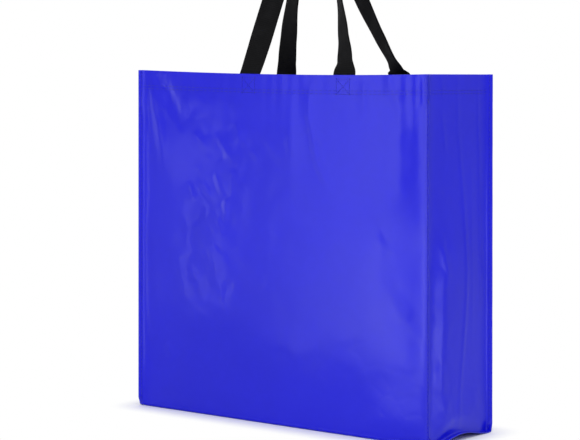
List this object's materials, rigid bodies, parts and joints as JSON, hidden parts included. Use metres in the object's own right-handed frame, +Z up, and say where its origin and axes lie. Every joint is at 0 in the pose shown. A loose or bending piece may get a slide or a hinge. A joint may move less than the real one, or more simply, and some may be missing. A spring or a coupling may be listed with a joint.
{
  "type": "laminated non-woven shopping bag",
  "caption": "Square-bottomed tote bag of glossy laminated non-woven sheet with sewn side gussets, hemmed rim and black webbing handles.",
  "frame": {"origin": "middle of the base, on the surface the bag stands on", "axes": "+X across the front to its right-hand side, -Y out of the front panel, +Z up"},
  "size_m": [0.454, 0.1362, 0.6559],
  "materials": {
    "laminate": "glossy film laminated on royal blue spunbond non-woven",
    "webbing": "matte black woven polypropylene webbing"
  },
  "bodies": {
    "root": {"body_panel": "laminate", "left_gusset": "laminate", "right_gusset": "laminate", "front_handle": "webbing", "back_handle": "webbing"}
  },
  "joints": []
}
